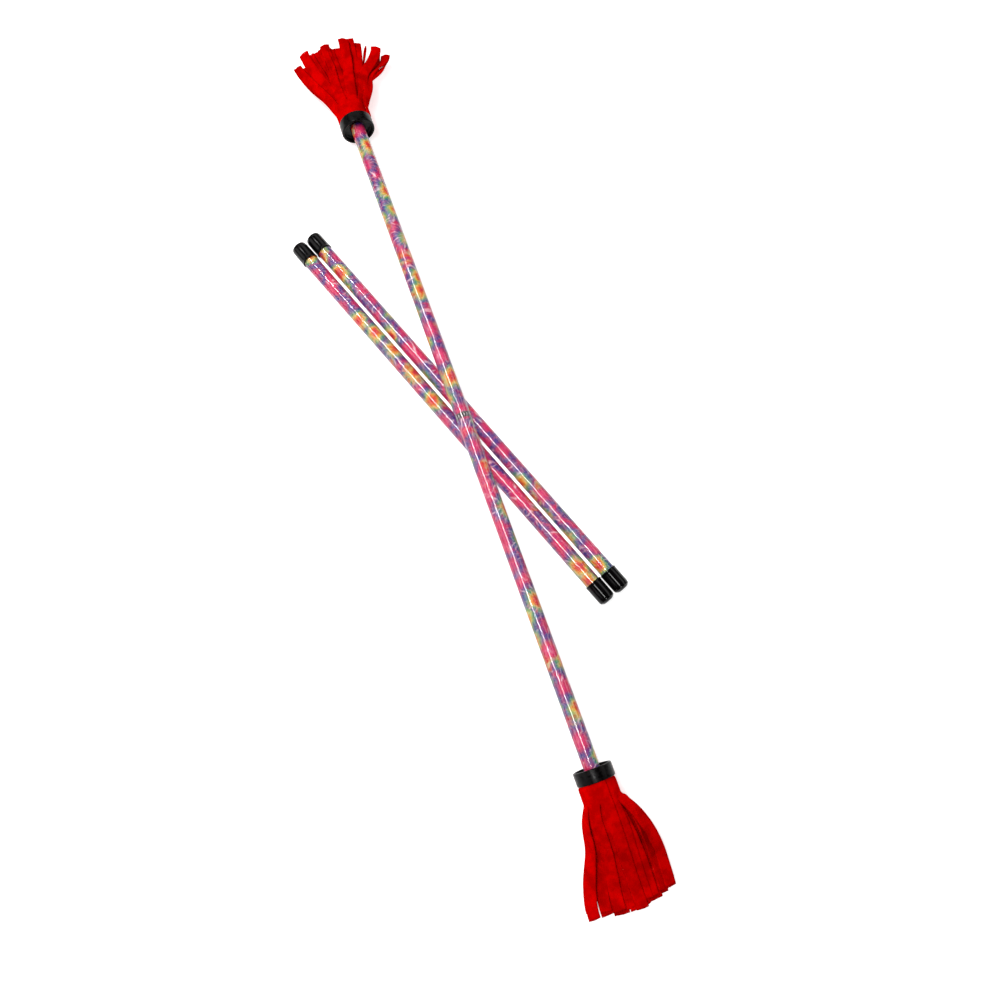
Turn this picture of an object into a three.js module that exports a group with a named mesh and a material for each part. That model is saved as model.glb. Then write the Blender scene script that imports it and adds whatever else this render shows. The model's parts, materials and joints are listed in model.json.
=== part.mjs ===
// A devil stick set: a baton with a suede tassel at each end, lying across two hand sticks.
// Millimetres, +Z up. The baton lies along Y; the hand sticks lie side by side on the ground.
import * as THREE from "three";

// Driving dimensions
const SLEEVE_OD = 13; // clear vinyl tube, the same on all three sticks
const SLEEVE_ID = 10.9;
const FILM_OD = 10.3;
const FILM_ID = 9.7;
const CORE_OD = 9.5; // three-eighths-inch dowel
const BATON_CORE_LENGTH = 635; // 25 in dowel
const RIM_TO_RIM = 592; // between the open rims of the two collars
const BAND_WIDTH = 5;
const BAND_OD = 10.74; // the band lies between the print and the clear sleeve
const BAND_ID = 10.44;

const COLLAR_OD = 30.5;
const COLLAR_WALL = 2;
const COLLAR_LENGTH = 10.2;
const COLLAR_MOUTH_DEPTH = 4.2;
const COLLAR_WEB = 2.4; // the wall across the collar that grips the stick
const COLLAR_LIP_RADIUS = 0.9;

const TASSEL_REACH = 106; // from a collar's open rim to the ends of its fringe
const ROLL_OD = 29.8; // the rolled, uncut suede just outside the collar
const ROLL_LENGTH = 24; // from the collar's open rim to the line where the slits begin
const FAR_SPREAD = 88; // width of the far fringe at its ends
const NEAR_SPREAD = 70;
const FRINGE_HEIGHT = 24; // height of the fringe's pile at its ends
const FRINGE_FLOOR_GAP = 0.5;
const SWING_ALLOWANCE_DEG = 25; // the fringe's cup starts this far past the roll's widest ring

const HAND_STICK_LENGTH = 419; // over both caps
const HAND_STICK_SPACING = 15.4;
const HAND_STICK_ANGLE_DEG = 20.5; // between the hand sticks and the baton, seen from above
const CAP_OD = 14.9;
const CAP_LENGTH = 19.5;
const CAP_END_WALL = 1.5;
const CAP_END_RADIUS = 4;
const LEFT_STICK_CENTRE = [-13.1, 13]; // from the baton's centre
const RIGHT_STICK_DRAW = 0.5; // the right stick lies this much nearer along its length

const GAP = 0.3; // between faces that touch
const FACETS = 36;
const ARC_STEPS = 3;

// Heights
const STICK_AXIS_Z = CAP_OD / 2;
const BATON_AXIS_Z = STICK_AXIS_Z + SLEEVE_OD + GAP;

// Materials
const finish = (color, roughness, metalness = 0, extra = {}) =>
  new THREE.MeshStandardMaterial({ color, roughness, metalness, ...extra });
const dowelWood = finish(0xd8b98a, 0.6);
const printedFilm = finish(0xcf6f8f, 0.35);
const clearVinyl = finish(0xf4efe6, 0.12, 0, { transparent: true, opacity: 0.3 });
const blackRubber = finish(0x161415, 0.5);
const blackVinyl = finish(0x0c0a0b, 0.15);
const bandTape = finish(0x2b2a2c, 0.4);
const redSuede = finish(0xc00404, 0.95);

// Shapes. Every profile is [radius, y] and turns about Y; the solid lies to its left.
function turned(profile) {
  const points = profile.map(([r, y]) => new THREE.Vector2(r, y));
  return new THREE.LatheGeometry(points, FACETS);
}

function arc(centreR, centreY, radius, fromDeg, toDeg, steps = ARC_STEPS) {
  return Array.from({ length: steps + 1 }, (_, i) => {
    const a = THREE.MathUtils.degToRad(fromDeg + ((toDeg - fromDeg) * i) / steps);
    return [centreR + radius * Math.cos(a), centreY + radius * Math.sin(a)];
  });
}

function rod(diameter, length) {
  const [r, h] = [diameter / 2, length / 2];
  return turned([[0, -h], [r, -h], [r, h], [0, h]]);
}

function tube(outside, inside, length) {
  const [ro, ri, h] = [outside / 2, inside / 2, length / 2];
  return turned([[ri, -h], [ro, -h], [ro, h], [ri, h], [ri, -h]]);
}

function piece(name, geometry, material) {
  const mesh = new THREE.Mesh(geometry, material);
  mesh.name = name;
  return mesh;
}

// A stick's inside and its skin: the dowel, the film wound on it and the clear tube over both.
function shaft(prefix, length) {
  return [
    piece(`${prefix}_wood_core`, rod(CORE_OD, length), dowelWood),
    piece(`${prefix}_print_wrap`, tube(FILM_OD, FILM_ID, length), printedFilm),
    piece(`${prefix}_clear_sleeve`, tube(SLEEVE_OD, SLEEVE_ID, length), clearVinyl),
  ];
}

// The rubber collar: a short cup, open towards the stick's middle, with a web that grips the
// stick and a skirt that squeezes the suede roll. Y = 0 is its open rim; the tassel is at +Y.
function collarGeometry() {
  const outer = COLLAR_OD / 2;
  const inner = outer - COLLAR_WALL;
  const bore = SLEEVE_OD / 2 + GAP;
  const lip = COLLAR_LIP_RADIUS;
  const webBack = COLLAR_MOUTH_DEPTH + COLLAR_WEB;
  return turned([
    [bore, COLLAR_MOUTH_DEPTH],
    [inner, COLLAR_MOUTH_DEPTH],
    ...arc(inner + lip, lip, lip, 180, 270),
    ...arc(outer - lip, lip, lip, 270, 360),
    [outer, COLLAR_LENGTH],
    [inner, COLLAR_LENGTH],
    [inner, webBack],
    [bore, webBack],
    [bore, COLLAR_MOUTH_DEPTH],
  ]);
}

// The uncut part of the suede: rolled round the stick's end, squeezed inside the collar's skirt,
// and closed over the stick's end by a round shoulder that the fringe bends about.
function rollGeometry() {
  const bore = SLEEVE_OD / 2 + GAP;
  const squeezed = COLLAR_OD / 2 - COLLAR_WALL - GAP;
  const full = ROLL_OD / 2;
  const start = COLLAR_MOUTH_DEPTH + COLLAR_WEB + GAP;
  const stickEnd = (BATON_CORE_LENGTH - RIM_TO_RIM) / 2;
  return turned([
    [0, stickEnd + GAP],
    [bore, stickEnd + GAP],
    [bore, start],
    [squeezed, start],
    [squeezed, COLLAR_LENGTH + GAP],
    [full, COLLAR_LENGTH + GAP],
    ...arc(0, ROLL_LENGTH, full, 0, 90, 3 * ARC_STEPS),
  ].map(([r, y]) => [Math.max(r, 0), y]));
}

// The cut part of the suede as one solid: a cup round the roll's shoulder that widens and
// settles from the collar's height down to the ground. Y = 0 is the shoulder's centre.
function fringeGeometry(spread) {
  const cup = ROLL_OD / 2 + GAP;
  const length = TASSEL_REACH - ROLL_LENGTH;
  const lipY = cup * Math.sin(THREE.MathUtils.degToRad(SWING_ALLOWANCE_DEG));
  const steps = 3 * ARC_STEPS;
  const side = Array.from({ length: steps }, (_, i) => [
    ROLL_OD / 2,
    lipY + ((length - lipY) * i) / (steps - 1),
  ]);
  const geometry = turned([
    ...arc(0, 0, cup, 90, SWING_ALLOWANCE_DEG, steps).map(([r, y]) => [Math.max(r, 0), y]),
    ...side,
    [0, length],
  ]);
  const position = geometry.attributes.position;
  const point = new THREE.Vector3();
  const endCentreZ = FRINGE_FLOOR_GAP + FRINGE_HEIGHT / 2 - BATON_AXIS_Z;
  for (let i = 0; i < position.count; i += 1) {
    point.fromBufferAttribute(position, i);
    if (point.length() < cup + GAP / 2) continue; // the cup itself stays round
    const along = THREE.MathUtils.smoothstep(point.y, lipY - GAP, length);
    point.x *= THREE.MathUtils.lerp(1, spread / ROLL_OD, along);
    point.z *= THREE.MathUtils.lerp(1, FRINGE_HEIGHT / ROLL_OD, along);
    point.z += endCentreZ * along;
    position.setXYZ(i, point.x, point.y, point.z);
  }
  return geometry;
}

// One end of the baton, made for the far (+Y) end and turned round for the near end.
function batonEnd(side, spread) {
  const end = new THREE.Group();
  const collar = piece(`${side}_rubber_collar`, collarGeometry(), blackRubber);
  const roll = piece(`${side}_suede_roll`, rollGeometry(), redSuede);
  const fringe = piece(`${side}_suede_fringe`, fringeGeometry(spread), redSuede);
  for (const mesh of [collar, roll, fringe]) mesh.position.y = RIM_TO_RIM / 2;
  fringe.position.y += ROLL_LENGTH;
  end.add(collar, roll, fringe);
  if (side === "near") end.rotation.z = Math.PI;
  return end;
}

function baton() {
  const group = new THREE.Group();
  group.add(...shaft("baton", BATON_CORE_LENGTH));
  group.add(piece("baton_centre_band", tube(BAND_OD, BAND_ID, BAND_WIDTH), bandTape));
  group.add(batonEnd("far", FAR_SPREAD), batonEnd("near", NEAR_SPREAD));
  group.position.z = BATON_AXIS_Z;
  return group;
}

// The end cap: a dipped vinyl cup pushed over the shaft. Y = 0 is its closed, flat end.
function capGeometry() {
  const outer = CAP_OD / 2;
  const bore = SLEEVE_OD / 2 + GAP;
  return turned([
    [0, -CAP_END_WALL],
    [bore, -CAP_END_WALL],
    [bore, -CAP_LENGTH],
    [outer, -CAP_LENGTH],
    ...arc(outer - CAP_END_RADIUS, -CAP_END_RADIUS, CAP_END_RADIUS, 0, 90, 2 * ARC_STEPS),
    [0, 0],
  ]);
}

function handStick(side) {
  const group = new THREE.Group();
  const shaftLength = HAND_STICK_LENGTH - 2 * (CAP_END_WALL + GAP);
  group.add(...shaft(`${side}_stick`, shaftLength));
  const farCap = piece(`${side}_stick_far_cap`, capGeometry(), blackVinyl);
  const nearCap = piece(`${side}_stick_near_cap`, capGeometry(), blackVinyl);
  farCap.position.y = HAND_STICK_LENGTH / 2;
  nearCap.position.y = -HAND_STICK_LENGTH / 2;
  nearCap.rotation.z = Math.PI;
  group.add(farCap, nearCap);
  return group;
}

function handStickPair() {
  const pair = new THREE.Group();
  const left = handStick("left");
  const right = handStick("right");
  right.position.set(HAND_STICK_SPACING, -RIGHT_STICK_DRAW, 0);
  pair.add(left, right);
  pair.rotation.z = THREE.MathUtils.degToRad(HAND_STICK_ANGLE_DEG);
  pair.position.set(...LEFT_STICK_CENTRE, STICK_AXIS_Z);
  return pair;
}

// The set stands on the ground with its box centred on the origin.
const set = new THREE.Group();
set.add(baton(), handStickPair());
set.updateMatrixWorld(true);
const box = new THREE.Box3().setFromObject(set, true);
const centre = box.getCenter(new THREE.Vector3());
set.position.set(-centre.x, -centre.y, -box.min.z);

export default set;
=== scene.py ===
import json
import math
import random

import bmesh
import bpy
import numpy as np
from mathutils import Matrix, Vector


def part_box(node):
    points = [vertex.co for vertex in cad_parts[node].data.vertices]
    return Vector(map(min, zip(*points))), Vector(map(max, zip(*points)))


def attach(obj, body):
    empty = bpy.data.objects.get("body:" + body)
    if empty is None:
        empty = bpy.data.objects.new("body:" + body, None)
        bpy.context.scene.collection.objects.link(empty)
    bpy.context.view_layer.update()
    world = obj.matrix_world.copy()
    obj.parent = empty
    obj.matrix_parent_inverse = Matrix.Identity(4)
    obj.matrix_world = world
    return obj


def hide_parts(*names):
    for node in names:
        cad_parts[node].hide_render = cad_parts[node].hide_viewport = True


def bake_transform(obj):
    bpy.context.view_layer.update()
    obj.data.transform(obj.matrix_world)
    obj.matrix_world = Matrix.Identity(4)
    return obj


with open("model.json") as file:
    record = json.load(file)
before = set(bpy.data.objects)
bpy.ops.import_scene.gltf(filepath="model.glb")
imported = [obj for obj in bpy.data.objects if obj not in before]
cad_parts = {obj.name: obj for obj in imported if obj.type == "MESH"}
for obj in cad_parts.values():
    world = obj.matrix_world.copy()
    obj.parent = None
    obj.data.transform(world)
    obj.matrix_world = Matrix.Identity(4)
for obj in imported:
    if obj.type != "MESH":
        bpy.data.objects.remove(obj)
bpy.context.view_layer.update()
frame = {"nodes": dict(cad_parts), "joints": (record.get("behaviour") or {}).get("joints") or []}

# Camera. The set lies on a table and is looked down on from the near end, a little from the left,
# with a moderately wide lens, so the near tassel looks larger than the far one.
core_low, core_high = (Vector(corner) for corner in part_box("baton_wood_core"))
baton_centre = (core_low + core_high) / 2
VIEW_AZIMUTH, VIEW_ELEVATION = math.radians(-19.6), math.radians(75.3)
VIEW_DISTANCE = 0.669
AIM_FROM_CENTRE = Vector((0.0048, -0.0781, 0))
LENS_MM, SENSOR_MM = 29.62, 36


def place_camera(aim):
    """Looks at aim; azimuth 0 would look along +Y, and elevation 90 straight down."""
    turn = Matrix.Rotation(VIEW_AZIMUTH, 4, "Z")
    turn = turn @ Matrix.Rotation(math.pi / 2 - VIEW_ELEVATION, 4, "X")
    data = bpy.data.cameras.new("camera")
    data.lens, data.sensor_width = LENS_MM, SENSOR_MM
    camera = bpy.data.objects.new("camera", data)
    camera.matrix_world = Matrix.Translation(aim + turn @ Vector((0, 0, VIEW_DISTANCE))) @ turn
    bpy.context.scene.collection.objects.link(camera)
    bpy.context.scene.camera = camera


place_camera(baton_centre + AIM_FROM_CENTRE)

# Table and lights. A matt white table, faintly lit from below as a light table is. A narrow
# strip light draws the thin line along the tubes, and weak soft boxes at the sides fill.
TABLE_HALF_SIDE = 4.0
TABLE_DROP = 0.0002  # keeps the table's face clear of what lies on it
ROOM_LIGHT, ROOM_SEEN = 0.05, 0.8  # the light the room gives, and how much brighter it looks


class Shade:
    """A socket of a material. Sums on it add Math nodes, and node() adds any other node."""

    def __init__(self, tree, socket=None):
        self.tree, self.socket = tree, socket

    def node(self, kind, settings, values, out=0):
        made = self.tree.nodes.new(kind)
        for name, value in settings.items():
            if name == "stops":
                ramp = made.color_ramp.elements
                while len(ramp) < len(value):
                    ramp.new(1)
                for stop, (at, colour) in zip(ramp, value):
                    stop.position, stop.color = at, colour
            else:
                setattr(made, name, value)
        for name, value in values.items():
            if isinstance(value, Shade):
                self.tree.links.new(value.socket, made.inputs[name])
            else:
                made.inputs[name].default_value = value
        return Shade(self.tree, made.outputs[out] if len(made.outputs) else None)

    def out(self, name):
        """Another output of the node that this socket belongs to."""
        return Shade(self.tree, self.socket.node.outputs[name])

    def maths(self, operation, a, b=0.0):
        return self.node("ShaderNodeMath", {"operation": operation}, {0: a, 1: b})

    def __add__(self, other):
        return self.maths("ADD", self, other)

    def __sub__(self, other):
        return self.maths("SUBTRACT", self, other)

    def __rsub__(self, other):
        return self.maths("SUBTRACT", other, self)

    def __mul__(self, other):
        return self.maths("MULTIPLY", self, other)

    def __truediv__(self, other):
        return self.maths("DIVIDE", self, other)

    def __rtruediv__(self, other):
        return self.maths("DIVIDE", other, self)

    __radd__, __rmul__ = __add__, __mul__

    def ramp(self, low, high, to_low=0.0, to_high=1.0):
        """This value, stretched smoothly from low..high to to_low..to_high and held outside it."""
        return self.node("ShaderNodeMapRange", {"interpolation_type": "SMOOTHSTEP"},
                         {"Value": self, "From Min": low, "From Max": high,
                          "To Min": to_low, "To Max": to_high})

    def mix(self, colour_a, colour_b):
        """colour_a where this value is 0 and colour_b where it is 1."""
        return self.node("ShaderNodeMix", {"data_type": "RGBA", "clamp_factor": True},
                         {0: self, 6: colour_a, 7: colour_b}, out=2)

    def vector(self, operation, a, b):
        return self.node("ShaderNodeVectorMath", {"operation": operation}, {0: a, 1: b})

    def noise(self, size, detail=3.0, roughness=0.55, out=0):
        """Noise with features about size across, read at this vector."""
        return self.node("ShaderNodeTexNoise", {}, {"Vector": self, "Scale": 1 / size,
                         "Detail": detail, "Roughness": roughness}, out=out)

    def bump(self, strength, distance):
        return self.node("ShaderNodeBump", {}, {"Strength": strength, "Distance": distance,
                                                "Height": self})


def new_material(name):
    """An empty material, and a Shade to build it with."""
    material = bpy.data.materials.new(name)
    material.use_nodes = True
    material.node_tree.nodes.clear()
    return material, Shade(material.node_tree)


def finish_material(start, **values):
    """Ends a material in one Principled shader; values name its sockets, with _ for a space."""
    sockets = {name.replace("_", " "): value for name, value in values.items()}
    surface = start.node("ShaderNodeBsdfPrincipled", {}, sockets)
    start.node("ShaderNodeOutputMaterial", {}, {"Surface": surface})


def make_table():
    material, start = new_material("white_table")
    finish_material(start, Base_Color=(0.7, 0.7, 0.7, 1), Roughness=0.9,
                    Specular_IOR_Level=0.1, Emission_Color=(1, 1, 1, 1), Emission_Strength=0.72)
    mesh = bpy.data.meshes.new("table")
    corners = [(-1, -1), (1, -1), (1, 1), (-1, 1)]
    mesh.from_pydata([(x * TABLE_HALF_SIDE, y * TABLE_HALF_SIDE, 0) for x, y in corners],
                     [], [(0, 1, 2, 3)])
    mesh.materials.append(material)
    table = bpy.data.objects.new("table", mesh)
    table.location.z = -TABLE_DROP
    bpy.context.scene.collection.objects.link(table)


def soft_box(name, place, aim, size, watts, lies_along):
    """A rectangular light facing aim; its size is (width, length), its length lies_along."""
    data = bpy.data.lights.new(name, "AREA")
    data.shape, data.energy = "RECTANGLE", watts
    data.size, data.size_y = size
    back = (Vector(place) - Vector(aim)).normalized()
    across = Vector(lies_along).cross(back).normalized()
    facing = Matrix((across, back.cross(across), back)).transposed().to_4x4()
    light = bpy.data.objects.new(name, data)
    light.matrix_world = Matrix.Translation(place) @ facing
    bpy.context.scene.collection.objects.link(light)


def make_room():
    """A pale room that lights the set only weakly, so that the lamps draw its gloss."""
    room = bpy.data.worlds.new("room")
    room.use_nodes = True
    room.node_tree.nodes.clear()
    start = Shade(room.node_tree)
    seen = start.node("ShaderNodeLightPath", {}, {}, out="Is Camera Ray")
    backdrop = start.node("ShaderNodeBackground", {}, {
        "Color": (1, 1, 1, 1), "Strength": seen * ROOM_SEEN + ROOM_LIGHT})
    start.node("ShaderNodeOutputWorld", {}, {"Surface": backdrop})
    bpy.context.scene.world = room


make_table()
soft_box("line_strip", place=(-0.30, 0.15, 1.25), aim=(-0.05, 0, 0), size=(0.18, 1.5),
         watts=19, lies_along=(-0.15, 1, 0))
soft_box("left_box", place=(-1.35, 0.1, 0.75), aim=(0, 0, 0), size=(0.9, 1.6),
         watts=6, lies_along=(0, 1, 0))
soft_box("right_box", place=(1.35, 0.1, 1.0), aim=(0, 0, 0), size=(0.7, 1.4),
         watts=5, lies_along=(0, 1, 0))
soft_box("far_box", place=(0.1, 1.5, 0.9), aim=(0, 0, 0), size=(0.7, 1.6),
         watts=4, lies_along=(1, 0, 0))
make_room()
bpy.context.scene.view_settings.view_transform = "Standard"

# The sticks' places. The baton lies along Y; both hand sticks lie along the line square to the
# way the right one moves apart, and each one's middle is midway between its two caps.
apart = next(j["axis"] for j in frame["joints"] if j["name"] == "right_stick_apart")
hand_stick_turn = Matrix.Rotation(math.atan2(apart[1], apart[0]), 4, "Z")


def middle(*nodes):
    corners = [Vector(c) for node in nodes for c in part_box(node)]
    return sum(corners, Vector()) / len(corners)


places = {"baton": Matrix.Translation(baton_centre)}
for side in ("left", "right"):
    centre = middle(f"{side}_stick_far_cap", f"{side}_stick_near_cap")
    places[f"{side}_stick"] = Matrix.Translation(centre) @ hand_stick_turn
bodies = {"baton": "baton", "left_stick": "left_hand_stick", "right_stick": "right_hand_stick"}

# Wooden cores. Plain sanded dowels; only their ends could ever be seen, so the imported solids
# stay and get a pale, straight-grained hardwood.
MM = 0.001
WOOD_GRAIN = 1.2 * MM
GRAIN_STRETCH = 14  # how many times longer than wide the grain's marks are


def tint(red, green, blue):
    """The linear colour of a screen colour, whose parts go from 0 to 255."""
    parts = [c / 255 for c in (red, green, blue)]
    return (*[c / 12.92 if c < 0.04045 else ((c + 0.055) / 1.055) ** 2.4 for c in parts], 1)


def object_point(start):
    """Where the shaded point is, in the object's own metres."""
    return start.node("ShaderNodeTexCoord", {}, {}, out="Object")


def dowel_material(stick):
    material, start = new_material(f"{stick}_dowel")
    along = start.node("ShaderNodeMapping", {"vector_type": "TEXTURE"}, {
        "Vector": object_point(start), "Location": places[stick].translation,
        "Rotation": places[stick].to_euler(), "Scale": (1, GRAIN_STRETCH, 1)})
    grain = along.noise(WOOD_GRAIN, 5)
    colour = grain.ramp(0.35, 0.7).mix(tint(222, 190, 140), tint(176, 132, 84))
    finish_material(start, Base_Color=colour, Roughness=grain.ramp(0.3, 0.7, 0.5, 0.7),
                    Normal=grain.bump(0.3, 0.1 * MM))
    return material


for stick in places:
    frame["nodes"][f"{stick}_wood_core"].data.materials.clear()
    frame["nodes"][f"{stick}_wood_core"].data.materials.append(dowel_material(stick))

# Printed films. Thin polyester printed with spiral tie-dye bursts, wound once round each core
# with its edges lapped along the underside. Its map holds metres along and round the stick.
FILM_THICK = 0.1 * MM
FILM_LAP = math.radians(18)
LAP_RISE = 1.3 * FILM_THICK  # how far the winding's radius grows from its first edge to its last
FILM_AROUND, FILM_ALONG = 96, 120  # faces
SHARP = math.radians(32)  # edges sharper than this stay crisp

BURST = 26 * MM  # from one burst's centre to the next
RINGS_REACH = BURST * 0.66  # the radius over which a burst runs through its colours
DYE_WANDER = 7 * MM  # how far and how finely the rings waver
SPECKLE, BLOTCH, WASH = 1.6 * MM, 4.5 * MM, 30 * MM  # sizes of the print's marks
FIRST_PRINT, NEXT_PRINT = 0.31, 0.83  # where each stick's piece of film comes from on the roll
OWN_RAYS, OWN_STREAKS = 9, 20  # how far apart two bursts' rays and streaks are in the noise
STREAKS_ROUND, STREAKS_OUT = 5, 60  # how fast the streaks change round a burst, and outwards
SUNNY_RINGS = [
    (0.00, tint(212, 48, 72)), (0.13, tint(226, 70, 70)), (0.22, tint(238, 112, 62)),
    (0.31, tint(242, 176, 88)), (0.38, tint(236, 214, 132)), (0.45, tint(150, 184, 104)),
    (0.52, tint(52, 150, 96)), (0.60, tint(22, 118, 128)), (0.68, tint(34, 78, 142)),
    (0.77, tint(70, 48, 124)), (0.86, tint(152, 48, 118)), (0.95, tint(214, 58, 106)),
]
ROSY_RINGS = [
    (0.00, tint(240, 178, 196)), (0.10, tint(228, 84, 128)), (0.30, tint(214, 50, 104)),
    (0.42, tint(150, 44, 112)), (0.52, tint(72, 46, 124)), (0.62, tint(42, 64, 142)),
    (0.72, tint(86, 50, 128)), (0.82, tint(196, 54, 112)), (0.95, tint(228, 70, 112)),
]


def length_along(stick):
    """How long a stick's shaft is: its core's box is as long as the core along the turned axis."""
    low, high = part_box(f"{stick}_wood_core")
    width = core_high.x - core_low.x
    turn = abs(places[stick].to_euler().z)
    return (high[1] - low[1] - width * math.sin(turn)) / math.cos(turn)


def radius_of(node):
    """A round piece's radius, from how tall it lies."""
    low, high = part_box(node)
    return (high[2] - low[2]) / 2


def add_piece(name, mesh, body, replaced):
    """Makes an object of a finished mesh and rides it on its body in place of a CAD node."""
    piece = bpy.data.objects.new(name, mesh)
    bpy.context.scene.collection.objects.link(piece)
    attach(piece, body)
    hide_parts(replaced)


def soften(mesh):
    mesh.shade_smooth()
    mesh.set_sharp_from_angle(angle=SHARP)


def film_mesh(name, outside, length, place):
    """The wound film, a closed strip whose radius grows a little in one turn and its lap."""
    mesh = bpy.data.meshes.new(name)
    made = bmesh.new()
    layer = made.loops.layers.uv.new("map")
    swept = 2 * math.pi + FILM_LAP
    rows = []
    for j in range(FILM_ALONG + 1):
        y = (j / FILM_ALONG - 0.5) * length
        row = []
        for face in (0, 1):
            for i in range(FILM_AROUND + 1):
                angle = swept * i / FILM_AROUND
                radius = outside - (1 - i / FILM_AROUND) * LAP_RISE - face * FILM_THICK
                point = Vector((radius * math.sin(angle), y, -radius * math.cos(angle)))
                row.append((made.verts.new(place @ point), (y, outside * angle)))
        rows.append(row[:FILM_AROUND + 1] + row[FILM_AROUND + 1:][::-1])
    ring = len(rows[0])
    faces = [[rows[j][i], rows[j][(i + 1) % ring], rows[j + 1][(i + 1) % ring], rows[j + 1][i]]
             for j in range(FILM_ALONG) for i in range(ring)]
    for row in (rows[0], rows[-1]):
        faces += [[row[i], row[i + 1], row[ring - 2 - i], row[ring - 1 - i]]
                  for i in range(FILM_AROUND)]
    for corners in faces:
        face = made.faces.new([vertex for vertex, _ in corners])
        for loop, (_, uv) in zip(face.loops, corners):
            loop[layer].uv = uv
    bmesh.ops.recalc_face_normals(made, faces=made.faces)
    made.to_mesh(mesh)
    made.free()
    soften(mesh)
    return mesh


def tie_dye_material(name, shift):
    """Bursts of dye round scattered centres: rings of colour with spiky edges, crossed by
    bleached rays, and some washed-out ground. shift moves the print along the film."""
    material, start = new_material(name)
    flat = start.node("ShaderNodeUVMap", {"uv_map": "map"}, {})
    flat = start.vector("ADD", flat, (shift, shift / 3, 0))
    speckle = flat.noise(SPECKLE, 4, 0.72)
    blotch = flat.noise(BLOTCH, 3, 0.6)

    # The nearest burst: how far its centre is, which way, and the numbers that are its own.
    wander = start.vector("SUBTRACT", flat.noise(DYE_WANDER, 3, out="Color"), (0.5, 0.5, 0.5))
    warped = start.node("ShaderNodeVectorMath", {"operation": "MULTIPLY_ADD"},
                        {0: wander, 1: (DYE_WANDER, DYE_WANDER, 0), 2: flat})
    burst = start.node("ShaderNodeTexVoronoi", {"voronoi_dimensions": "2D"},
                       {"Vector": start.vector("MULTIPLY", flat, (1 / BURST, 1 / BURST, 0)),
                        "Scale": 1.0, "Randomness": 0.9})
    centre = start.vector("MULTIPLY", burst.out("Position"), (BURST, BURST, 0))
    away = start.vector("SUBTRACT", warped, centre)
    reach = start.node("ShaderNodeVectorMath", {"operation": "LENGTH"}, {0: away}, out="Value")
    heading = start.node("ShaderNodeVectorMath", {"operation": "NORMALIZE"}, {0: away})
    own = start.node("ShaderNodeSeparateColor", {}, {0: burst.out("Color")})

    # Its rings of dye, drawn out into broad and fine rays.
    own_place = start.vector("MULTIPLY", burst.out("Color"), (OWN_RAYS, OWN_RAYS, OWN_RAYS))
    rim = start.vector("ADD", heading, own_place)
    broad_rays = rim.noise(0.4, 2)
    fine_rays = rim.noise(0.09, 3, 0.65)
    rings = reach / RINGS_REACH + (broad_rays - 0.5) * 0.5 + (fine_rays - 0.5) * 0.3
    rings = rings + own * 0.12 - 0.03
    sunny = start.node("ShaderNodeValToRGB", {"stops": SUNNY_RINGS}, {0: rings})
    rosy = start.node("ShaderNodeValToRGB", {"stops": ROSY_RINGS}, {0: rings})
    dye = own.out("Green").ramp(0.54, 0.56).mix(sunny, rosy)
    dye = fine_rays.ramp(0.50, 0.64, 0, 0.4).mix(dye, tint(246, 176, 178))
    dye = fine_rays.ramp(0.48, 0.34, 0, 0.5).mix(dye, tint(150, 34, 92))
    dye = blotch.ramp(0.52, 0.70, 0, 0.6).mix(dye, tint(204, 62, 84))
    dye = blotch.ramp(0.44, 0.30, 0, 0.5).mix(dye, tint(92, 62, 140))
    dye = speckle.ramp(0.52, 0.72, 0, 0.5).mix(dye, tint(250, 214, 206))
    dye = speckle.ramp(0.5, 0.28, 0, 0.45).mix(dye, tint(96, 40, 92))

    # Bleached streaks that run outwards from just past the centre.
    broken = start.node("ShaderNodeCombineXYZ", {}, {
        0: reach * STREAKS_OUT, 1: own * OWN_STREAKS, 2: 0.0})
    spun = start.vector("MULTIPLY", heading, (STREAKS_ROUND, STREAKS_ROUND, STREAKS_ROUND))
    streaks = start.vector("ADD", spun, broken).noise(0.9, 3, 0.6)
    bleached = streaks.ramp(0.57, 0.65) * reach.ramp(4 * MM, 8 * MM)
    rayed = (bleached * 0.8).mix(dye, tint(250, 220, 226))

    # Washed-out ground between some bursts, broken up by blotches.
    washed = flat.noise(WASH, 2).ramp(0.56, 0.64, 0, 0.8) * reach.ramp(3 * MM, 9 * MM)
    washed = washed * broad_rays.ramp(0.38, 0.5)
    ground = speckle.ramp(0.35, 0.65).mix(tint(186, 196, 140), tint(232, 214, 160))
    ground = blotch.ramp(0.42, 0.52).mix(ground, tint(232, 148, 96))
    ground = blotch.ramp(0.54, 0.62).mix(ground, tint(222, 92, 84))
    colour = start.node("ShaderNodeHueSaturation", {}, {
        "Color": washed.mix(rayed, ground), "Saturation": 1.2, "Value": 0.64})
    finish_material(start, Base_Color=colour, Roughness=speckle.ramp(0.3, 0.7, 0.42, 0.5),
                    Normal=speckle.bump(0.08, 0.05 * MM))
    return material


for number, stick in enumerate(places):
    node = f"{stick}_print_wrap"
    mesh = film_mesh(node, radius_of(node), length_along(stick), places[stick])
    mesh.materials.append(tie_dye_material(f"{stick}_tie_dye", FIRST_PRINT + NEXT_PRINT * number))
    add_piece(f"{stick}_film", mesh, bodies[stick], node)

# Clear sleeves. Clear vinyl tube stretched over film and core, cut square with its edges just
# broken. It grips the print, so it bends light only at its outside, and the print looks as
# wide as the tube.
FIT_GAP = 0.3 * MM  # the clearance kept between pieces that touch
SLEEVE_EDGE = 0.15 * MM
TURNED_AROUND = 128  # faces round a turned piece
ON_AXIS = 1e-7  # a radius smaller than this is a point on the axis


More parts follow.
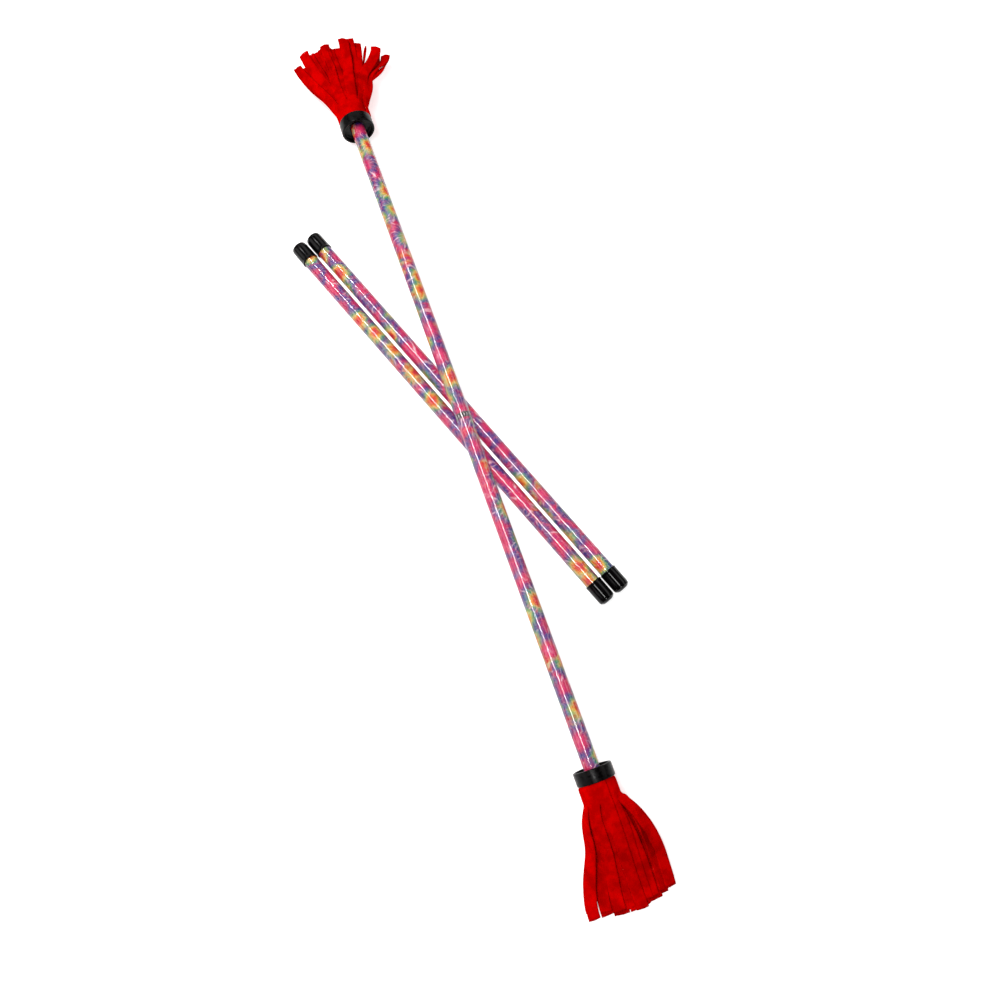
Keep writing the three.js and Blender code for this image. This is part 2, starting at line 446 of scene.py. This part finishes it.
def turned_mesh(name, profile, place):
    """A profile of (radius, y) turned about Y. It starts and ends on the axis, or is closed."""
    mesh = bpy.data.meshes.new(name)
    made = bmesh.new()
    rings = []
    for radius, y in profile:
        count = 1 if radius < ON_AXIS else TURNED_AROUND
        angles = [2 * math.pi * i / count for i in range(count)]
        rings.append([
            made.verts.new(place @ Vector((radius * math.sin(a), y, radius * math.cos(a))))
            for a in angles])
    closed = len(rings[0]) > 1
    for lower, upper in zip(rings, rings[1:] + (rings[:1] if closed else [])):
        for i in range(TURNED_AROUND):
            j = (i + 1) % TURNED_AROUND
            corners = [lower[i % len(lower)], lower[j % len(lower)],
                       upper[j % len(upper)], upper[i % len(upper)]]
            corners = list(dict.fromkeys(corners))
            if len(corners) > 2:
                made.faces.new(corners)
    bmesh.ops.recalc_face_normals(made, faces=made.faces)
    made.to_mesh(mesh)
    made.free()
    soften(mesh)
    return mesh


def sleeve_material():
    """Glossy clear vinyl. Light reaches the print through it, as through a thin clear wall."""
    material, start = new_material("clear_vinyl")
    scuffs = object_point(start).noise(4 * MM, 4)
    vinyl = start.node("ShaderNodeBsdfGlass", {}, {
        "Color": (1, 1, 1, 1), "Roughness": 0.04, "IOR": 1.5,
        "Normal": scuffs.bump(0.012, 0.1 * MM)})
    clear = start.node("ShaderNodeBsdfTransparent", {}, {"Color": (0.98, 0.98, 0.97, 1)})
    from_lamp = start.node("ShaderNodeLightPath", {}, {}, out="Is Shadow Ray")
    surface = start.node("ShaderNodeMixShader", {}, {0: from_lamp, 1: vinyl, 2: clear})
    start.node("ShaderNodeOutputMaterial", {}, {"Surface": surface})
    return material


def gripped_wall_material():
    """The sleeve's inner wall, pressed on the print with no air between, so it can't be seen."""
    material, start = new_material("gripped_wall")
    clear = start.node("ShaderNodeBsdfTransparent", {}, {"Color": (1, 1, 1, 1)})
    start.node("ShaderNodeOutputMaterial", {}, {"Surface": clear})
    return material


def sleeve_mesh(name, outer, inner, half, place):
    """The tube, with its inner wall in the second material."""
    mesh = turned_mesh(name, [
        (inner, -half), (outer - SLEEVE_EDGE, -half), (outer, SLEEVE_EDGE - half),
        (outer, half - SLEEVE_EDGE), (outer - SLEEVE_EDGE, half), (inner, half)], place)
    way_back = place.inverted()
    just_outside = inner * 1.01
    for face in mesh.polygons:
        spot = way_back @ face.center
        face.material_index = int(math.hypot(spot.x, spot.z) < just_outside)
    return mesh


clear_vinyl, gripped_wall = sleeve_material(), gripped_wall_material()
for stick in places:
    node = f"{stick}_clear_sleeve"
    mesh = sleeve_mesh(node, radius_of(node), radius_of(f"{stick}_print_wrap") + FIT_GAP,
                       length_along(stick) / 2, places[stick])
    mesh.materials.append(clear_vinyl)
    mesh.materials.append(gripped_wall)
    add_piece(f"{stick}_sleeve", mesh, bodies[stick], node)

# Centre band. A narrow dark label wound on the print at the balance point, under the sleeve,
# with a plain row of pale chevrons.
BAND_THICK = 0.15 * MM
CHEVRONS = 14  # round the band
CHEVRON_LEAN = 0.35  # how far a chevron's arms lean out to the band's edge, in pitches
band_low, band_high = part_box("baton_centre_band")
band_half = (band_high[1] - band_low[1]) / 2


def band_material():
    material, start = new_material("centre_band")
    spot = start.node("ShaderNodeMapping", {"vector_type": "TEXTURE"},
                      {"Vector": object_point(start), "Location": baton_centre})
    parts = start.node("ShaderNodeSeparateXYZ", {}, {0: spot})
    turn = start.maths("ARCTAN2", parts.out("X"), parts.out("Z")) / (2 * math.pi)
    lift = start.maths("ABSOLUTE", parts.out("Y")) / band_half
    wave = start.maths("FRACT", (turn + 1) * CHEVRONS + lift * CHEVRON_LEAN)
    chevron = (wave.ramp(0.34, 0.44) - wave.ramp(0.56, 0.66)) * (1 - lift.ramp(0.40, 0.52))
    border = lift.ramp(0.74, 0.80) - lift.ramp(0.88, 0.94)
    pale = start.maths("MAXIMUM", chevron, border * 0.2)
    finish_material(start, Base_Color=pale.mix(tint(14, 12, 14), tint(222, 216, 214)),
                    Roughness=pale.ramp(0, 1, 0.35, 0.5))
    return material


band_outer = radius_of("baton_centre_band")
band = turned_mesh("baton_centre_band", [
    (band_outer - BAND_THICK, -band_half), (band_outer, -band_half),
    (band_outer, band_half), (band_outer - BAND_THICK, band_half)], places["baton"])
band.materials.append(band_material())
add_piece("centre_band", band, "baton", "baton_centre_band")

# End caps. Black vinyl, dip-moulded: a thin cup with a rolled lip at its mouth, slightly
# tapered to a round end with a small flat. Each is pushed over the end of a hand stick.
CAP_LENGTH, CAP_WALL = 19.5 * MM, 1.5 * MM
CAP_LIP = 0.55 * MM  # the rolled lip's radius
CAP_NECK, CAP_TAPER = 0.28 * MM, 0.35 * MM  # how far the wall is inside the lip, at each end
CAP_TIP_RADIUS = 4.4 * MM
CAP_CORNER = 0.8 * MM  # inside, where the wall meets the end


def arc(centre, radius, start, end, steps):
    """Points of a profile, (radius, y), round a centre; degrees, 0 is outward and 90 is +y."""
    angles = [math.radians(start + (end - start) * i / steps) for i in range(steps + 1)]
    return [(centre[0] + radius * math.cos(a), centre[1] + radius * math.sin(a)) for a in angles]


def cap_material():
    material, start = new_material("black_vinyl")
    ripple = object_point(start).noise(5 * MM, 2)
    finish_material(start, Base_Color=ripple.ramp(0.3, 0.7).mix(tint(2, 1, 2), tint(6, 4, 5)),
                    Roughness=ripple.ramp(0.3, 0.7, 0.08, 0.14), Specular_IOR_Level=0.2,
                    Normal=ripple.bump(0.12, 0.2 * MM))
    return material


def cap_profile(outer, bore):
    """y = 0 is the closed end, and the mouth is at -CAP_LENGTH."""
    end = outer - CAP_TAPER
    fillet = 0.5 * MM
    dimple = [(1.4 * MM, 0), *arc((0.9 * MM, -0.35 * MM), 0.4 * MM, 60, 150, 4), (0, -0.2 * MM)]
    return [
        (0, -CAP_WALL), (bore - CAP_CORNER, -CAP_WALL),
        *arc((bore - CAP_CORNER, -CAP_WALL - CAP_CORNER), CAP_CORNER, 90, 0, 5),
        (bore, 0.2 * MM - CAP_LENGTH),
        *arc((outer - CAP_LIP, CAP_LIP - CAP_LENGTH), CAP_LIP, 240, 360, 10),
        *arc((outer - CAP_NECK + fillet, 2.2 * MM - CAP_LENGTH), fillet, 215, 180, 4),
        (end + 0.05 * MM, -CAP_LENGTH / 2),
        *arc((end - CAP_TIP_RADIUS, -CAP_TIP_RADIUS), CAP_TIP_RADIUS, 0, 90, 18),
        *dimple,
    ]


black_vinyl = cap_material()
for stick in ("left_stick", "right_stick"):
    for end, flip in (("far", 1), ("near", -1)):
        node = f"{stick}_{end}_cap"
        tip = length_along(stick) / 2 + CAP_WALL + FIT_GAP
        profile = cap_profile(radius_of(node), radius_of(f"{stick}_clear_sleeve") + FIT_GAP)
        mesh = turned_mesh(node, [(r, flip * (y + tip)) for r, y in profile], places[stick])
        mesh.materials.append(black_vinyl)
        add_piece(f"{stick}_{end}_end_cap", mesh, bodies[stick], node)

# Collars. Moulded black rubber rings: an open mouth with a rounded lip towards the middle of
# the stick, a web that grips the sleeve, and a skirt that squeezes the suede behind it.
COLLAR_WALL, COLLAR_LENGTH = 2.0 * MM, 10.2 * MM
COLLAR_MOUTH, COLLAR_WEB = 4.2 * MM, 2.4 * MM  # the mouth's depth, and the web's thickness


def rubber_material():
    material, start = new_material("black_rubber")
    grain = object_point(start).noise(0.6 * MM, 4, 0.7)
    bloom = object_point(start).noise(3.5 * MM, 4, 0.6)
    colour = bloom.ramp(0.35, 0.7).mix(tint(2, 1, 1), tint(9, 6, 7))
    finish_material(start, Base_Color=colour, Roughness=bloom.ramp(0.35, 0.65, 0.22, 0.42),
                    Specular_IOR_Level=0.12, Normal=grain.bump(0.3, 0.06 * MM))
    return material


def collar_profile(outer, bore):
    """y = 0 is the open rim, and the tassel is towards +y."""
    inner = outer - COLLAR_WALL
    edge, fillet = 0.3 * MM, 1.2 * MM
    inner_lip, outer_lip, back_lip = 0.8 * MM, 1.1 * MM, 0.45 * MM
    return [
        (bore, COLLAR_MOUTH + edge), (bore + edge, COLLAR_MOUTH), (inner - fillet, COLLAR_MOUTH),
        *arc((inner - fillet, COLLAR_MOUTH - fillet), fillet, 90, 0, 6),
        *arc((inner + inner_lip, inner_lip), inner_lip, 180, 270, 8),
        *arc((outer - outer_lip, outer_lip), outer_lip, 270, 360, 10),
        *arc((outer - back_lip, COLLAR_LENGTH - back_lip), back_lip, 0, 90, 6),
        (inner + edge, COLLAR_LENGTH), (inner, COLLAR_LENGTH - edge),
        (inner, COLLAR_MOUTH + COLLAR_WEB), (bore, COLLAR_MOUTH + COLLAR_WEB),
    ]


black_rubber = rubber_material()
ends = {}
for end, flip in (("far", 1), ("near", -1)):
    node = f"{end}_rubber_collar"
    low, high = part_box(node)
    rim = Vector((baton_centre.x, low[1] if flip > 0 else high[1], baton_centre.z))
    ends[end] = Matrix.Translation(rim) @ Matrix.Rotation(0 if flip > 0 else math.pi, 4, "Z")
    profile = collar_profile(radius_of(node), radius_of("baton_clear_sleeve") + FIT_GAP)
    mesh = turned_mesh(node, profile, ends[end])
    mesh.materials.append(black_rubber)
    add_piece(f"{end}_collar", mesh, "baton", node)

# Tassels. Each is one rectangle of red suede, slit into strips along most of its height. The
# uncut edge is rolled round the stick's end and glued; the strips fan out and sag to the table.
SUEDE = 1.3 * MM
TURNS, STRIPS = 4, 30
INNER_TURN, OUTER_TURN = 7.4 * MM, 15.4 * MM  # the suede's middle in the free part of the roll
SQUEEZED_TURN = 12.2 * MM  # the outermost turn inside the collar's skirt
SKIRT_EDGE = (9.7 * MM, 10.9 * MM)  # the roll swells from the one to the other between these
ROLL_START, SLIT_START, TASSEL_END = 6.9 * MM, 24 * MM, 106 * MM  # all from the collar's open rim
FLAT_WIDTH = math.pi * TURNS * (INNER_TURN + OUTER_TURN)
STRIP_WIDTH = FLAT_WIDTH / STRIPS
floor = SUEDE / 2 + 0.15 * MM - baton_centre.z  # the lowest a strip's middle can lie

ROLL_ROWS, STRIP_ROWS, COLUMNS = 10, 26, 4  # faces along the roll, along a strip and across it
STEPS = 80  # of a strip's middle line
ALONG = np.linspace(0, 1, STEPS + 1)  # shares of a strip's length
# The shares of its length by which a strip has sagged, joined its layer, fanned out, lain flat.
SAG_BY, LAYERED_BY, FANNED_BY, FLAT_BY = 0.92, 0.95, 0.72, 0.8
SAG_POWER = 1.15
SWAY_WAVE = 2.4  # radians
CURL_FROM, CURL_START = 0.62, 0.42  # the share of the fan, and of the strip, where curling begins
STEEPEST = 0.35  # the least share of a step that goes forwards
SMOOTHED_OVER = 11  # steps
FAN_FILL, PARTED_TO, DRAWN_IN = 0.97, 0.9, 0.1  # shares of the fan's half width
UPPER_DOME, LOWER_DOME = -0.6, 0.2  # the tilt, in radians, of the outermost strips
EDGE_ON_FROM = 0.35  # share of the fan
EDGE_CREASE = 0.55  # keeps the cut edges from rounding away
STRIP_SEED, FIBRE_SEED = 3, 11


def smooth(value, low, high):
    """0 up to low, 1 from high on, and an even S between them."""
    t = np.clip((value - low) / (high - low), 0, 1)
    return t * t * (3 - 2 * t)


def roll_turn(share):
    """The angle, in radians, that a share of the flat width reaches along the spiral."""
    growth = (OUTER_TURN - INNER_TURN) / (2 * math.pi * TURNS)
    return (math.sqrt(INNER_TURN**2 + 2 * growth * share * FLAT_WIDTH) - INNER_TURN) / growth


def roll_point(share, y, start_angle):
    """A point of the uncut roll, in the end's own frame."""
    angle = roll_turn(share)
    outer = SQUEEZED_TURN + (OUTER_TURN - SQUEEZED_TURN) * smooth(y, *SKIRT_EDGE)
    radius = INNER_TURN + (outer - INNER_TURN) * angle / (2 * math.pi * TURNS)
    angle += start_angle
    return np.array([radius * math.cos(angle), y, radius * math.sin(angle)])


def fan_shares(start_angle):
    """Where each strip ends up across the fan, -1 to 1. The strips of the roll's upper half lie
    side by side over those of its lower half, each lot in the order it leaves the roll."""
    shares = [(strip + 0.5) / STRIPS for strip in range(STRIPS)]
    starts = [roll_point(share, SLIT_START, start_angle) for share in shares]
    fan = np.zeros(STRIPS)
    for half in (True, False):
        members = [i for i in range(STRIPS) if (starts[i][2] > 0) == half]
        members.sort(key=lambda i: starts[i][0])
        for rank, i in enumerate(members):
            fan[i] = 2 * (rank + 0.5) / len(members) - 1
    return fan


def strip_spread(fan_share, style, luck):
    """The fan share, jumbled a little and moved off the gap beside the outermost strips."""
    spread = fan_share * FAN_FILL + luck.uniform(-1, 1) * style["jumble"]
    if abs(spread) > style["gap_at"]:
        return math.copysign(max(abs(spread), PARTED_TO), spread)
    if style["gap_at"] < 1:
        spread *= (style["gap_at"] - DRAWN_IN) / style["gap_at"]
    return spread


def strip_heights(start, lift, style):
    """How high a strip's middle line is: it sags from the roll to its own layer of the pile."""
    inwards = 1 - math.hypot(start[0], start[2]) / OUTER_TURN
    layer = start[2] / OUTER_TURN * style["pile"]
    height = start[2] + (layer - start[2]) * smooth(ALONG, 0, LAYERED_BY)
    sag = floor + style["pile"] + inwards * SUEDE
    height = height + sag * smooth(ALONG, 0, SAG_BY) ** SAG_POWER + lift * ALONG**3
    return np.maximum(height, floor + inwards * 2 * SUEDE)


def strip_line(start, spread, length, style, luck):
    """The middle line of one strip, of its true length, as points in the end's frame. How far
    it stands out depends on how far along it is, so both are worked out a few times over."""
    sway = luck.uniform(-1, 1) * style["sway"]
    lift = max(luck.uniform(-0.6, 1), 0) * style["lift"]  # about a third aren't lifted
    z = strip_heights(start, lift, style)
    outline = style["plus"] if spread > 0 else style["minus"]
    outline_at, outline_reach = np.array(outline).T * MM
    share = start[0] / OUTER_TURN
    share = share + (spread - share) * smooth(ALONG, 0, FANNED_BY)
    curl = style["curl"] * max(spread - CURL_FROM, 0) / (1 - CURL_FROM)
    aside = sway * np.sin(SWAY_WAVE * ALONG) * ALONG + curl * smooth(ALONG, CURL_START, 1)
    step = length / STEPS
    y = SLIT_START + ALONG * length
    for _ in range(4):
        reach = np.pad(np.interp(y, outline_at, outline_reach), SMOOTHED_OVER // 2, mode="edge")
        reach = np.convolve(reach, np.ones(SMOOTHED_OVER) / SMOOTHED_OVER, mode="valid")
        reach[0] = OUTER_TURN
        x = share * reach + aside
        sideways = np.hypot(np.diff(x), np.diff(z))
        forwards = np.sqrt(np.clip(step**2 - sideways**2, (STEEPEST * step) ** 2, None))
        y = SLIT_START + np.concatenate([[0], np.cumsum(forwards)])
    return np.stack([x, y, z], axis=1)


def strip_facing(strip, start, line, spread, style, luck):
    """The strip's widthways and outward directions along its line. It leaves the roll lying
    round it, and turns until it lies on the pile, which is domed."""
    along = np.gradient(line, axis=0)
    along /= np.linalg.norm(along, axis=1)[:, None]
    turn = (roll_turn((strip + 0.5) / STRIPS) + style["start"] + math.pi / 2) % (2 * math.pi)
    if start[2] > 0:
        lying = math.pi + UPPER_DOME * spread
    else:
        lying = (2 * math.pi if turn > math.pi else 0) + LOWER_DOME * spread
    twist = luck.uniform(-1, 1) * style["twist"]
    twist += style["edge_on"] * max(spread - EDGE_ON_FROM, 0)
    turns = turn + (lying + twist - turn) * smooth(ALONG, 0, FLAT_BY)
    widthways = np.stack([np.cos(turns), 0 * ALONG, np.sin(turns)], axis=1)
    widthways -= (widthways * along).sum(1)[:, None] * along
    widthways /= np.linalg.norm(widthways, axis=1)[:, None]
    return widthways, np.cross(along, widthways)


def strip_points(strip, line, facing, slant, cup, start_angle):
    """The strip's rows of points below the slit line. They start in the roll's own curve and
    lose it, cup a little across the strip, and end in a cut with that slant."""
    offsets = [(column / COLUMNS - 0.5) * STRIP_WIDTH for column in range(COLUMNS + 1)]
    curved = [roll_point((strip + column / COLUMNS) / STRIPS, SLIT_START, start_angle)
              - line[0] - facing[0][0] * offset for column, offset in enumerate(offsets)]
    points = []
    for row in range(1, STRIP_ROWS + 1):
        for offset, curve in zip(offsets, curved):
            t = min(row / STRIP_ROWS * (1 + slant * offset), 1)
            spot, widthways, outward = (
                np.array([np.interp(t, ALONG, part[:, i]) for i in range(3)])
                for part in (line, *facing))
            cupped = cup * (offset**2 - STRIP_WIDTH**2 / 12) * smooth(t, 0, 0.6)
            spot = spot + widthways * offset + outward * cupped
            spot = spot + curve * (1 - smooth(t, 0, 0.45))
            spot[2] = max(spot[2], floor)
            points.append(spot)
    return points


def tassel_mesh(name, place, style, seed):
    """The slit sheet as a grid with cuts. style gives the outline and habits of its strips."""
    luck = random.Random(seed)
    points, faces = [], []
    across = STRIPS * COLUMNS
    for y in np.linspace(ROLL_START, SLIT_START, ROLL_ROWS + 1):
        points += [roll_point(i / across, y, style["start"]) for i in range(across + 1)]
    for row in range(ROLL_ROWS):
        for i in range(across):
            at = row * (across + 1) + i
            faces.append((at, at + 1, at + across + 2, at + across + 1))
    fan = fan_shares(style["start"])
    for strip in range(STRIPS):
        start = roll_point((strip + 0.5) / STRIPS, SLIT_START, style["start"])
        spread = strip_spread(fan[strip], style, luck)
        length = (TASSEL_END - SLIT_START) * style["reach"] * luck.uniform(0.97, 1.03)
        length *= 1 - style["shorter"] * max(abs(spread) - 0.5, 0)
        slant = luck.uniform(-1, 1) * style["slant"] / length
        line = strip_line(start, spread, length, style, luck)
        facing = strip_facing(strip, start, line, spread, style, luck)
        cup = luck.uniform(0.2, 1) * style["cup"] / STRIP_WIDTH
        above, below = ROLL_ROWS * (across + 1) + strip * COLUMNS, len(points)
        points += strip_points(strip, line, facing, slant, cup, style["start"])
        for row in range(STRIP_ROWS):
            faces += [(above + i, above + i + 1, below + i + 1, below + i)
                      for i in range(COLUMNS)]
            above, below = below, below + COLUMNS + 1
    mesh = bpy.data.meshes.new(name)
    mesh.from_pydata([place @ Vector(p) for p in points], [], faces)
    return mesh


def suede_material(name, light, dark, glint_strength):
    """Napped suede: brushed patches, a fibrous surface, and a painted highlight of pale flecks
    that stand for fibres catching the light.
    """
    material, start = new_material(name)
    here = object_point(start)
    nap = here.noise(10 * MM, 4, 0.6)
    fibre = here.noise(0.7 * MM, 5, 0.75)
    # Painted highlight: pale flecks, scattered at random, that stand for fibres glinting in the
    # light.
    glint_flecks = here.noise(1.6 * MM, 2).ramp(0.70, 0.76) * glint_strength
    colour = nap.ramp(0.35, 0.65).mix(light, dark)
    colour = fibre.ramp(0.35, 0.75, 0, 0.35).mix(colour, dark)
    colour = glint_flecks.mix(colour, tint(235, 90, 75))
    finish_material(start, Base_Color=colour, Roughness=fibre.ramp(0.3, 0.7, 0.85, 0.98),
                    Specular_IOR_Level=0.0, Sheen_Weight=0.12, Sheen_Roughness=0.5,
                    Sheen_Tint=(1, 0, 0, 1), Normal=fibre.bump(0.45, 0.15 * MM))
    return material


def settle(piece):
    """Turns what the piece's modifiers give into its plain mesh."""
    bpy.context.view_layer.update()
    final = bpy.data.meshes.new_from_object(
        piece.evaluated_get(bpy.context.evaluated_depsgraph_get()))
    piece.modifiers.clear()
    piece.data = final


def loose_fibres(name, tassel_data, edge_material, fibre_material, seed):
    """Short fibres that stand off the cut edges, scattered by Geometry Nodes."""
    tree = bpy.data.node_groups.new(name, "GeometryNodeTree")
    sizes = {"Fibres per square metre": 120000.0, "Length": 1.1 * MM, "Thickness": 0.09 * MM}
    lean = 0.9  # the most that a fibre turns off upright, in radians
    tree.interface.new_socket("Geometry", in_out="INPUT", socket_type="NodeSocketGeometry")
    for label in sizes:
        tree.interface.new_socket(label, in_out="INPUT", socket_type="NodeSocketFloat")
    tree.interface.new_socket("Geometry", in_out="OUTPUT", socket_type="NodeSocketGeometry")

    def node(kind, settings, values):
        made = tree.nodes.new(kind)
        for key, value in settings.items():
            setattr(made, key, value)
        for key, value in values.items():
            if isinstance(value, bpy.types.NodeSocket):
                tree.links.new(value, made.inputs[key])
            else:
                made.inputs[key].default_value = value
        return made

    given = node("NodeGroupInput", {}, {}).outputs
    edges = node("GeometryNodeMaterialSelection", {}, {"Material": edge_material})
    spots = node("GeometryNodeDistributePointsOnFaces", {}, {
        "Mesh": given["Geometry"], "Selection": edges.outputs[0],
        "Density": given["Fibres per square metre"], "Seed": seed})
    fibre = node("GeometryNodeMeshCone", {}, {
        "Vertices": 3, "Radius Bottom": given["Thickness"], "Depth": given["Length"]})
    leaning = node("FunctionNodeRandomValue", {"data_type": "FLOAT_VECTOR"}, {
        0: (-lean, -lean, -lean), 1: (lean, lean, lean), "Seed": seed + 1})
    turned = node("FunctionNodeRotateRotation", {"rotation_space": "LOCAL"}, {
        "Rotation": spots.outputs["Rotation"], "Rotate By": leaning.outputs[0]})
    placed = node("GeometryNodeInstanceOnPoints", {}, {
        "Points": spots.outputs["Points"], "Instance": fibre.outputs["Mesh"],
        "Rotation": turned.outputs[0]})
    real = node("GeometryNodeRealizeInstances", {}, {"Geometry": placed.outputs[0]})
    done = node("GeometryNodeSetMaterial", {}, {
        "Geometry": real.outputs[0], "Material": fibre_material})
    node("NodeGroupOutput", {}, {"Geometry": done.outputs[0]})
    fibres = bpy.data.objects.new(name, tassel_data.copy())
    bpy.context.scene.collection.objects.link(fibres)
    modifier = fibres.modifiers.new("fibres", "NODES")
    modifier.node_group = tree
    for socket in tree.interface.items_tree:
        if socket.name in sizes:
            modifier[socket.identifier] = sizes[socket.name]
    settle(fibres)
    return fibres


# The last number sets how much painted highlight each suede gets as pale glinting fibre flecks.
suede = suede_material("red_suede", tint(206, 0, 0), tint(164, 0, 0), 0.08)
cut_edge = suede_material("suede_cut_edge", tint(200, 4, 3), tint(140, 0, 0), 0.8)
fibre_red = suede_material("suede_fibre", tint(214, 20, 14), tint(190, 0, 0), 0.5)

# start is where the spiral begins, in radians, and reach the strips' usual length as a share of
# the sheet's height below the slits' tops. plus and minus are the fan's two sides, as (past the
# rim, from the axis) in millimetres. gap_at is the share of the fan beyond which strips lie apart
# from the rest, shorter how much is off the outermost ones, and edge_on how far those on the
# plus side stand on edge.
tassels = {
    "near": {
        "start": 1.9, "reach": 0.975, "pile": 8.5 * MM, "sway": 1.2 * MM, "lift": 2 * MM,
        "plus": [(24, 14.9), (31, 20), (40, 22), (54, 23), (62, 26), (76, 32), (92, 37),
                 (110, 38)],
        "minus": [(24, 15.5), (30, 20), (36, 23.5), (44, 26), (54, 28), (70, 29.5),
                  (90, 28.5), (110, 26)],
        "jumble": 0.03, "gap_at": 0.82, "curl": 0, "shorter": 0.02, "slant": 0.35,
        "twist": 0.25, "edge_on": 0, "cup": 0.10},
    "far": {
        "start": 0.6, "reach": 0.96, "pile": 10.5 * MM, "sway": 3 * MM, "lift": 7 * MM,
        "plus": [(24, 15.5), (32, 20), (42, 24), (54, 26), (75, 33), (100, 42)],
        "minus": [(24, 15.5), (32, 18.5), (50, 23.5), (70, 29.5), (90, 36), (110, 43)],
        "jumble": 0.06, "gap_at": 1.5, "curl": 24 * MM, "shorter": 0.22, "slant": 0.8,
        "twist": 0.45, "edge_on": 1.6, "cup": 0.14},
}
for number, (end, style) in enumerate(tassels.items()):
    mesh = tassel_mesh(f"{end}_tassel", ends[end], style, STRIP_SEED + number)
    mesh.materials.append(suede)
    mesh.materials.append(cut_edge)
    tassel = bpy.data.objects.new(f"{end}_tassel", mesh)
    bpy.context.scene.collection.objects.link(tassel)
    thick = tassel.modifiers.new("thickness", "SOLIDIFY")
    thick.thickness, thick.offset, thick.material_offset_rim = SUEDE, 0, 1
    thick.edge_crease_rim = thick.edge_crease_outer = thick.edge_crease_inner = EDGE_CREASE
    round_off = tassel.modifiers.new("round", "SUBSURF")
    round_off.levels = round_off.render_levels = 1
    settle(tassel)
    tassel.data.shade_smooth()
    fibres = loose_fibres(f"{end}_loose_fibres", tassel.data, cut_edge, fibre_red,
                          FIBRE_SEED + number)
    for piece in (tassel, fibres):
        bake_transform(piece)
    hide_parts(f"{end}_suede_roll", f"{end}_suede_fringe")
